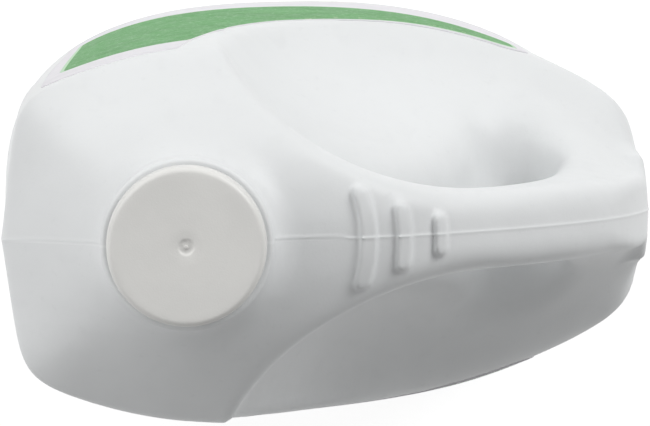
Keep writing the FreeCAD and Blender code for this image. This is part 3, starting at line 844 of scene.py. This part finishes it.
def cap_plastic(colours):
    """Satin injection-moulded plastic with a fine grain, faint flow rings round the gate, and painted shade in the
    gate's dish.
    """
    f = Finish("Injection-moulded cap plastic")
    base = tuple(colours.cap)
    x, y, _ = f.split()
    away = f.math("POWER", f.math("ADD", f.math("POWER", f.math("SUBTRACT", x, NECK_X * MM), 2.0),
                                  f.math("POWER", y, 2.0)), 0.5)
    clouds = f.noise(60.0, 3.0)
    rings = f.math("SINE", f.math("ADD", f.math("MULTIPLY", away, 2600.0), f.math("MULTIPLY", clouds, 9.0)))
    colour = f.mix(f.ramp(clouds, 0.35, 0.65), shade(base, 0.96), base)
    colour = f.mix(f.ramp(rings, 0.2, 1.0, 0.0, 0.04), colour, shade(base, 0.9))
    # painted shade: darker towards the middle, over the recessed dish round the gate
    colour = f.mix(f.ramp(away, 0.0005, 0.0022, 0.35, 0.0), colour, shade(base, 0.7))
    roughness = f.ramp(clouds, 0.3, 0.7, 0.36, 0.46)
    normal = f.bump(f.noise(2400.0, 2.0), 0.00003)
    return f.surface(colour, roughness, normal, IOR=1.5)


def liner_foam(colours):
    """Soft closed foam with fine cells."""
    f = Finish("Foam cap liner")
    base = tuple(colours.liner)
    cells = f.node("TexVoronoi", {"Vector": f.place, "Scale": 2200.0}).outputs[0]
    colour = f.mix(f.ramp(cells, 0.1, 0.6), shade(base, 0.9), base)
    return f.surface(colour, f.ramp(cells, 0.0, 0.7, 0.75, 0.9), f.bump(cells, 0.00012), IOR=1.45)


def printed_film(colours):
    """Pale film with a speckled green field in a pale line; the field follows the film's upper edge."""
    f = Finish("Printed label film")
    x, _, z = f.split()
    top_gap = f.node("Attribute", attribute_name=TOP_GAP).outputs["Fac"]
    past = f.math("MAXIMUM", f.math("SUBTRACT", x, FIELD_RISE_X * MM), 0.0)
    rise = f.math("MULTIPLY", f.math("POWER", past, 2.0), FIELD_RISE)
    inside = f.math("SUBTRACT", f.math("SUBTRACT", z, FIELD_BOTTOM * MM), rise)
    for first, second in ((top_gap, FIELD_TOP_GAP * MM), (FIELD_TOP * MM, z), (x, FIELD_LEFT * MM),
                          (FIELD_RIGHT * MM, x)):
        inside = f.math("SMOOTH_MIN", inside, f.math("SUBTRACT", first, second), FIELD_CORNER * MM)
    field = f.ramp(inside, -0.1 * MM, 0.1 * MM)
    line = f.ramp(inside, (FIELD_RIM - 0.2) * MM, (FIELD_RIM + 0.2) * MM, 1.0, 0.0)
    rim = f.math("MULTIPLY", field, line)
    speckle = f.ramp(f.noise(900.0, 4.0), 0.56, 0.7)
    patches = f.ramp(f.noise(55.0, 2.0), 0.35, 0.7)
    green = f.mix(patches, colours.label_field, shade(colours.label_field, 0.86))
    green = f.mix(f.math("MULTIPLY", speckle, 0.45), green, colours.label_rim)
    dots = f.node("TexVoronoi", {"Vector": f.place, "Scale": 210.0}).outputs[0]
    dots = f.math("MULTIPLY", f.ramp(dots, 0.12, 0.17, 1.0, 0.0), f.ramp(top_gap, 0.006, 0.022, 0.8, 0.0))
    green = f.mix(dots, green, DOT_COLOUR)
    green = f.mix(rim, green, colours.label_rim)
    film = f.mix(f.ramp(f.noise(70.0, 2.0), 0.3, 0.7), colours.label_film, shade(colours.label_film, 0.96))
    colour = f.mix(field, film, green)
    roughness = f.ramp(f.noise(300.0, 2.0), 0.3, 0.7, 0.42, 0.54)
    normal = f.bump(f.noise(38.0, 2.0), 0.0005)
    normal = f.bump(speckle, 0.00001, normal)
    return f.surface(colour, roughness, normal, IOR=1.48, specular_IOR_level=0.12)


def studio_floor():
    """White floor that shows as white paper and still takes the jug's soft shadow."""
    f = Finish("White floor")
    diffuse = f.node("BsdfDiffuse", {"Color": (FLOOR_PALENESS,) * 3 + (1.0,)})
    glow = f.node("Emission", {"Color": WHITE, "Strength": f.math("MULTIPLY", f.seen(), FLOOR_GLOW)})
    both = f.node("AddShader", {0: diffuse.outputs[0], 1: glow.outputs[0]})
    f.node("OutputMaterial", {"Surface": both.outputs[0]})
    return f.material


def studio_world(fill):
    """Even light of a given strength all round, in front of a plain white background."""
    world = bpy.data.worlds.new("Even light")
    n = Nodes(world)
    light = n.node("Background", {"Color": WHITE, "Strength": fill})
    white = n.node("Background", {"Color": WHITE, "Strength": 1.0})
    mixed = n.node("MixShader", {0: n.seen(), 1: light.outputs[0], 2: white.outputs[0]})
    n.node("OutputWorld", {"Surface": mixed.outputs[0]})
    return world


# ---------------------------------------------------------------- add-on
class JugSizes(bpy.types.PropertyGroup):
    wall: FloatProperty(name="Wall", description="Thickness of the moulded wall", default=0.001, min=0.0005,
                        max=0.003, unit="LENGTH", subtype="DISTANCE")
    rib_height: FloatProperty(name="Rib height", description="How far the grip ribs stand out of the handle",
                              default=0.0017, min=0.0, max=0.003, unit="LENGTH", subtype="DISTANCE")
    seam_height: FloatProperty(name="Parting line height", description="How far the mould's parting line stands out",
                               default=0.00017, min=0.0, max=0.001, unit="LENGTH", subtype="DISTANCE")


def colour_property(name, description, default):
    """A colour that a user may change."""
    return FloatVectorProperty(name=name, description=description, default=default, min=0.0, max=1.0, size=3,
                               subtype="COLOR")


class JugColours(bpy.types.PropertyGroup):
    jug: colour_property("Jug", "Colour of the moulded plastic", (0.82, 0.835, 0.84))
    cap: colour_property("Cap", "Colour of the screw cap", (0.83, 0.825, 0.80))
    liner: colour_property("Liner", "Colour of the foam in the cap", (0.82, 0.82, 0.80))
    label_film: colour_property("Label film", "Colour of the film round the printed field", (0.80, 0.785, 0.82))
    label_field: colour_property("Label field", "Colour of the printed field", (0.08, 0.31, 0.08))
    label_rim: colour_property("Label rim", "Colour of the line round the printed field", (0.50, 0.70, 0.50))


class StudioSettings(bpy.types.PropertyGroup):
    right: FloatProperty(name="Right light", description="Strength of the soft light from behind on the right",
                         default=1.79, min=0.0, max=10.0)
    left: FloatProperty(name="Left light", description="Strength of the soft light from behind on the left",
                        default=1.06, min=0.0, max=10.0)
    side: FloatProperty(name="Side light", description="Strength of the soft light from the left", default=0.70,
                        min=0.0, max=10.0)
    fill: FloatProperty(name="Fill", description="Strength of the even light all round", default=0.295, min=0.0,
                        max=2.0)


class HANDLED_JUG_OT_moulding(bpy.types.Operator):
    """Build the jug: its walls, dome, handle, ribs and threaded neck"""
    bl_idname = "handled_jug.moulding"
    bl_label = "Moulded jug"

    def execute(self, context):
        mesh = build_moulding(context.scene.jug_sizes)
        mesh.to_object("jug_shell", "jug", JUG_NODES, "jug_plastic", moulded_plastic(context.scene.jug_colours))
        return {"FINISHED"}


class HANDLED_JUG_OT_closure(bpy.types.Operator):
    """Build the screw cap and the foam liner inside it"""
    bl_idname = "handled_jug.closure"
    bl_label = "Cap and liner"

    def execute(self, context):
        colours = context.scene.jug_colours
        build_cap().to_object("cap_shell", "cap", ["screw_cap"], "cap_plastic", cap_plastic(colours))
        build_wad().to_object("cap_wad", "liner", ["cap_liner"], "liner_foam", liner_foam(colours))
        return {"FINISHED"}


class HANDLED_JUG_OT_labels(bpy.types.Operator):
    """Build the printed film on each long wall"""
    bl_idname = "handled_jug.labels"
    bl_label = "Labels"

    def execute(self, context):
        film = printed_film(context.scene.jug_colours)
        for name, side in (("back_label", 1), ("front_label", -1)):
            mesh, top_gap = build_label(side)
            piece = mesh.to_object(name + "_film", "jug", [name], "label_film", film)
            piece.data.attributes.new(TOP_GAP, "FLOAT", "POINT").data.foreach_set("value", top_gap)
        return {"FINISHED"}


class HANDLED_JUG_OT_studio(bpy.types.Operator):
    """Set up the floor, the lights and the camera"""
    bl_idname = "handled_jug.studio"
    bl_label = "Studio"

    def execute(self, context):
        scene = context.scene
        settings = scene.jug_studio
        data = bpy.data.meshes.new("floor")
        corners = [(a * FLOOR_HALF, b * FLOOR_HALF, 0) for a, b in ((-1, -1), (1, -1), (1, 1), (-1, 1))]
        data.from_pydata(corners, [], [(0, 1, 2, 3)])
        data.materials.append(studio_floor())
        floor = bpy.data.objects.new("floor", data)
        floor.location.z = -FLOOR_DROP
        scene.collection.objects.link(floor)
        scene.world = studio_world(settings.fill)

        for name, strength, toward in (("Soft light right", settings.right, (0.664, 0.664, 0.342)),
                                       ("Soft light back left", settings.left, (-0.664, 0.664, 0.342)),
                                       ("Soft light left", settings.side, (-0.940, 0.0, 0.342))):
            lamp = bpy.data.lights.new(name, "SUN")
            lamp.energy = strength
            lamp.angle = math.radians(LAMP_SPREAD)
            soft = bpy.data.objects.new(name, lamp)
            soft.rotation_euler = Vector(toward).to_track_quat("Z", "Y").to_euler()
            scene.collection.objects.link(soft)

        lens = bpy.data.cameras.new("Camera")
        lens.lens, lens.sensor_width, lens.clip_end = CAMERA_LENS, CAMERA_SENSOR, CAMERA_REACH
        camera = bpy.data.objects.new("Camera", lens)
        camera.location, camera.rotation_euler = CAMERA_PLACE, CAMERA_TURN
        scene.collection.objects.link(camera)
        scene.camera = camera
        scene.view_settings.view_transform = "Standard"
        return {"FINISHED"}


OPERATORS = (HANDLED_JUG_OT_moulding, HANDLED_JUG_OT_closure, HANDLED_JUG_OT_labels, HANDLED_JUG_OT_studio)
GROUPS = (("jug_sizes", JugSizes), ("jug_colours", JugColours), ("jug_studio", StudioSettings))


class HANDLED_JUG_PT_panel(bpy.types.Panel):
    bl_label = "Handled jug"
    bl_idname = "HANDLED_JUG_PT_panel"
    bl_space_type = "VIEW_3D"
    bl_region_type = "UI"
    bl_category = "Handled jug"

    def draw(self, context):
        for name, group in GROUPS:
            settings = getattr(context.scene, name)
            for key in group.__annotations__:
                self.layout.prop(settings, key)
        for operator in OPERATORS:
            self.layout.operator(operator.bl_idname)


def register():
    for name, group in GROUPS:
        bpy.utils.register_class(group)
        setattr(bpy.types.Scene, name, PointerProperty(type=group))
    for made in OPERATORS + (HANDLED_JUG_PT_panel,):
        bpy.utils.register_class(made)


def unregister():
    for made in (HANDLED_JUG_PT_panel,) + OPERATORS[::-1]:
        bpy.utils.unregister_class(made)
    for name, group in GROUPS[::-1]:
        delattr(bpy.types.Scene, name)
        bpy.utils.unregister_class(group)


def main():
    register()
    bpy.ops.handled_jug.moulding()
    bpy.ops.handled_jug.closure()
    bpy.ops.handled_jug.labels()
    bpy.ops.handled_jug.studio()


if __name__ == "__main__":
    main()
